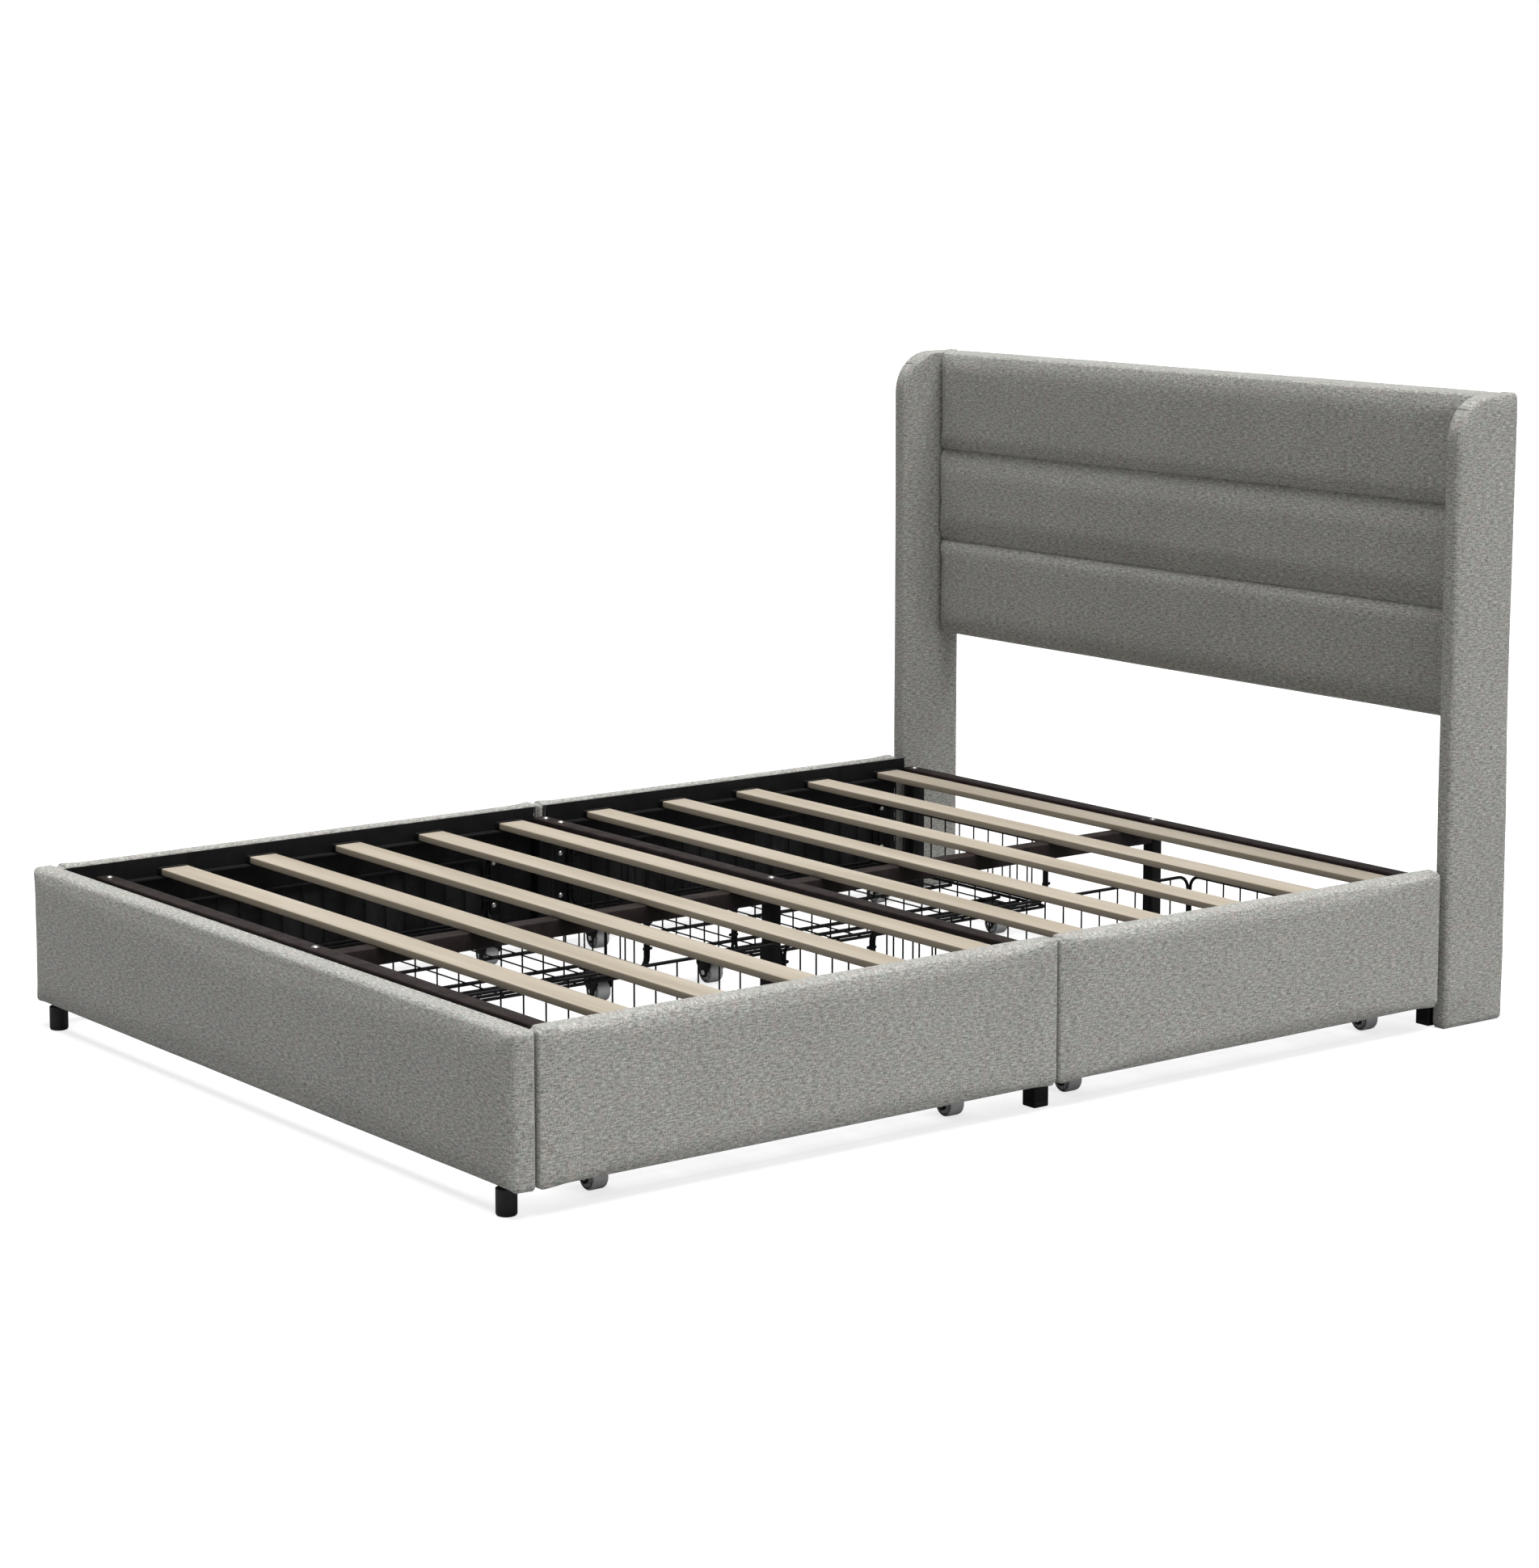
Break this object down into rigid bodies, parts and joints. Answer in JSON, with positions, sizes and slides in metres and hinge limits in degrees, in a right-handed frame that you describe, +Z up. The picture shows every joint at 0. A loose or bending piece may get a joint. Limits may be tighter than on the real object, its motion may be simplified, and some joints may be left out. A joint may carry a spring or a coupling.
{
  "type": "platform bed with storage drawers",
  "caption": "Upholstered platform bed with a winged, channelled headboard, wood slats on a steel frame and wire-basket drawers that roll out on casters.",
  "frame": {"origin": "on the floor, under the centre of the bed's outer box", "axes": "+Z up, +Y from the footboard to the headboard, +X to the right-hand side drawers"},
  "size_m": [1.482, 2.021, 1.074],
  "materials": {
    "linen": "heathered woven linen-look upholstery over foam and board",
    "black_steel": "black powder coat",
    "bar_steel": "dark brown-black powder coat",
    "slat_wood": "pale bent-ply slat, sanded",
    "cap_plastic": "moulded black sleeve",
    "zinc_steel": "bright zinc",
    "leg_plastic": "black round leg",
    "wire_steel": "black coated wire",
    "bracket_steel": "black pressed steel with zinc screws",
    "fork_steel": "black pressed fork with a riveted pin",
    "wheel_plastic": "smoky clear moulded roller"
  },
  "bodies": {
    "frame": {"headboard_panel": "linen", "right_wing": "linen", "left_wing": "linen", "footboard": "linen", "footboard_legs": "leg_plastic", "right_foot_rail": "black_steel", "right_head_rail": "black_steel", "left_foot_rail": "black_steel", "left_head_rail": "black_steel", "foot_crossbar": "bar_steel", "mid_crossbar": "bar_steel", "head_crossbar": "bar_steel", "frame_bolts": "zinc_steel", "foot_centre_beam": "black_steel", "head_centre_beam": "black_steel", "centre_legs": "black_steel", "side_legs": "black_steel", "slat_01": "slat_wood", "slat_02": "slat_wood", "slat_03": "slat_wood", "slat_04": "slat_wood", "slat_05": "slat_wood", "slat_06": "slat_wood", "slat_07": "slat_wood", "slat_08": "slat_wood", "slat_09": "slat_wood", "slat_10": "slat_wood", "slat_end_caps": "cap_plastic"},
    "right_foot_drawer": {"right_foot_drawer_front": "linen", "right_foot_basket": "wire_steel", "right_foot_basket_brackets": "bracket_steel", "right_foot_caster_forks": "fork_steel"},
    "right_foot_wheel_foot_inner": {"right_foot_wheel_foot_inner": "wheel_plastic"},
    "right_foot_wheel_foot_outer": {"right_foot_wheel_foot_outer": "wheel_plastic"},
    "right_foot_wheel_head_inner": {"right_foot_wheel_head_inner": "wheel_plastic"},
    "right_foot_wheel_head_outer": {"right_foot_wheel_head_outer": "wheel_plastic"},
    "right_head_drawer": {"right_head_drawer_front": "linen", "right_head_basket": "wire_steel", "right_head_basket_brackets": "bracket_steel", "right_head_caster_forks": "fork_steel"},
    "right_head_wheel_foot_inner": {"right_head_wheel_foot_inner": "wheel_plastic"},
    "right_head_wheel_foot_outer": {"right_head_wheel_foot_outer": "wheel_plastic"},
    "right_head_wheel_head_inner": {"right_head_wheel_head_inner": "wheel_plastic"},
    "right_head_wheel_head_outer": {"right_head_wheel_head_outer": "wheel_plastic"},
    "left_foot_drawer": {"left_foot_drawer_front": "linen", "left_foot_basket": "wire_steel", "left_foot_basket_brackets": "bracket_steel", "left_foot_caster_forks": "fork_steel"},
    "left_foot_wheel_foot_inner": {"left_foot_wheel_foot_inner": "wheel_plastic"},
    "left_foot_wheel_foot_outer": {"left_foot_wheel_foot_outer": "wheel_plastic"},
    "left_foot_wheel_head_inner": {"left_foot_wheel_head_inner": "wheel_plastic"},
    "left_foot_wheel_head_outer": {"left_foot_wheel_head_outer": "wheel_plastic"},
    "left_head_drawer": {"left_head_drawer_front": "linen", "left_head_basket": "wire_steel", "left_head_basket_brackets": "bracket_steel", "left_head_caster_forks": "fork_steel"},
    "left_head_wheel_foot_inner": {"left_head_wheel_foot_inner": "wheel_plastic"},
    "left_head_wheel_foot_outer": {"left_head_wheel_foot_outer": "wheel_plastic"},
    "left_head_wheel_head_inner": {"left_head_wheel_head_inner": "wheel_plastic"},
    "left_head_wheel_head_outer": {"left_head_wheel_head_outer": "wheel_plastic"}
  },
  "joints": [
    {"name": "right_foot_slide", "type": "slide", "parent": "frame", "child": "right_foot_drawer", "axis": [1, 0, 0], "range_m": [0, 0.5]},
    {"name": "right_foot_wheel_foot_inner_spin", "type": "hinge", "parent": "right_foot_drawer", "child": "right_foot_wheel_foot_inner", "pos_m": [0.3, -0.8195, 0.02], "axis": [0, 1, 0], "continuous": true},
    {"name": "right_foot_wheel_foot_outer_spin", "type": "hinge", "parent": "right_foot_drawer", "child": "right_foot_wheel_foot_outer", "pos_m": [0.654, -0.8195, 0.02], "axis": [0, 1, 0], "continuous": true},
    {"name": "right_foot_wheel_head_inner_spin", "type": "hinge", "parent": "right_foot_drawer", "child": "right_foot_wheel_head_inner", "pos_m": [0.3, -0.1495, 0.02], "axis": [0, 1, 0], "continuous": true},
    {"name": "right_foot_wheel_head_outer_spin", "type": "hinge", "parent": "right_foot_drawer", "child": "right_foot_wheel_head_outer", "pos_m": [0.654, -0.1495, 0.02], "axis": [0, 1, 0], "continuous": true},
    {"name": "right_head_slide", "type": "slide", "parent": "frame", "child": "right_head_drawer", "axis": [1, 0, 0], "range_m": [0, 0.5]},
    {"name": "right_head_wheel_foot_inner_spin", "type": "hinge", "parent": "right_head_drawer", "child": "right_head_wheel_foot_inner", "pos_m": [0.3, 0.0945, 0.02], "axis": [0, 1, 0], "continuous": true},
    {"name": "right_head_wheel_foot_outer_spin", "type": "hinge", "parent": "right_head_drawer", "child": "right_head_wheel_foot_outer", "pos_m": [0.654, 0.0945, 0.02], "axis": [0, 1, 0], "continuous": true},
    {"name": "right_head_wheel_head_inner_spin", "type": "hinge", "parent": "right_head_drawer", "child": "right_head_wheel_head_inner", "pos_m": [0.3, 0.7645, 0.02], "axis": [0, 1, 0], "continuous": true},
    {"name": "right_head_wheel_head_outer_spin", "type": "hinge", "parent": "right_head_drawer", "child": "right_head_wheel_head_outer", "pos_m": [0.654, 0.7645, 0.02], "axis": [0, 1, 0], "continuous": true},
    {"name": "left_foot_slide", "type": "slide", "parent": "frame", "child": "left_foot_drawer", "axis": [-1, 0, 0], "range_m": [0, 0.5]},
    {"name": "left_foot_wheel_foot_inner_spin", "type": "hinge", "parent": "left_foot_drawer", "child": "left_foot_wheel_foot_inner", "pos_m": [-0.3, -0.8195, 0.02], "axis": [0, -1, 0], "continuous": true},
    {"name": "left_foot_wheel_foot_outer_spin", "type": "hinge", "parent": "left_foot_drawer", "child": "left_foot_wheel_foot_outer", "pos_m": [-0.654, -0.8195, 0.02], "axis": [0, -1, 0], "continuous": true},
    {"name": "left_foot_wheel_head_inner_spin", "type": "hinge", "parent": "left_foot_drawer", "child": "left_foot_wheel_head_inner", "pos_m": [-0.3, -0.1495, 0.02], "axis": [0, -1, 0], "continuous": true},
    {"name": "left_foot_wheel_head_outer_spin", "type": "hinge", "parent": "left_foot_drawer", "child": "left_foot_wheel_head_outer", "pos_m": [-0.654, -0.1495, 0.02], "axis": [0, -1, 0], "continuous": true},
    {"name": "left_head_slide", "type": "slide", "parent": "frame", "child": "left_head_drawer", "axis": [-1, 0, 0], "range_m": [0, 0.5]},
    {"name": "left_head_wheel_foot_inner_spin", "type": "hinge", "parent": "left_head_drawer", "child": "left_head_wheel_foot_inner", "pos_m": [-0.3, 0.0945, 0.02], "axis": [0, -1, 0], "continuous": true},
    {"name": "left_head_wheel_foot_outer_spin", "type": "hinge", "parent": "left_head_drawer", "child": "left_head_wheel_foot_outer", "pos_m": [-0.654, 0.0945, 0.02], "axis": [0, -1, 0], "continuous": true},
    {"name": "left_head_wheel_head_inner_spin", "type": "hinge", "parent": "left_head_drawer", "child": "left_head_wheel_head_inner", "pos_m": [-0.3, 0.7645, 0.02], "axis": [0, -1, 0], "continuous": true},
    {"name": "left_head_wheel_head_outer_spin", "type": "hinge", "parent": "left_head_drawer", "child": "left_head_wheel_head_outer", "pos_m": [-0.654, 0.7645, 0.02], "axis": [0, -1, 0], "continuous": true}
  ],
  "couplings": [
    {"joint": "right_foot_wheel_foot_inner_spin", "follows": "right_foot_slide", "rad_per_m": 50},
    {"joint": "right_foot_wheel_foot_outer_spin", "follows": "right_foot_slide", "rad_per_m": 50},
    {"joint": "right_foot_wheel_head_inner_spin", "follows": "right_foot_slide", "rad_per_m": 50},
    {"joint": "right_foot_wheel_head_outer_spin", "follows": "right_foot_slide", "rad_per_m": 50},
    {"joint": "right_head_wheel_foot_inner_spin", "follows": "right_head_slide", "rad_per_m": 50},
    {"joint": "right_head_wheel_foot_outer_spin", "follows": "right_head_slide", "rad_per_m": 50},
    {"joint": "right_head_wheel_head_inner_spin", "follows": "right_head_slide", "rad_per_m": 50},
    {"joint": "right_head_wheel_head_outer_spin", "follows": "right_head_slide", "rad_per_m": 50},
    {"joint": "left_foot_wheel_foot_inner_spin", "follows": "left_foot_slide", "rad_per_m": 50},
    {"joint": "left_foot_wheel_foot_outer_spin", "follows": "left_foot_slide", "rad_per_m": 50},
    {"joint": "left_foot_wheel_head_inner_spin", "follows": "left_foot_slide", "rad_per_m": 50},
    {"joint": "left_foot_wheel_head_outer_spin", "follows": "left_foot_slide", "rad_per_m": 50},
    {"joint": "left_head_wheel_foot_inner_spin", "follows": "left_head_slide", "rad_per_m": 50},
    {"joint": "left_head_wheel_foot_outer_spin", "follows": "left_head_slide", "rad_per_m": 50},
    {"joint": "left_head_wheel_head_inner_spin", "follows": "left_head_slide", "rad_per_m": 50},
    {"joint": "left_head_wheel_head_outer_spin", "follows": "left_head_slide", "rad_per_m": 50}
  ]
}
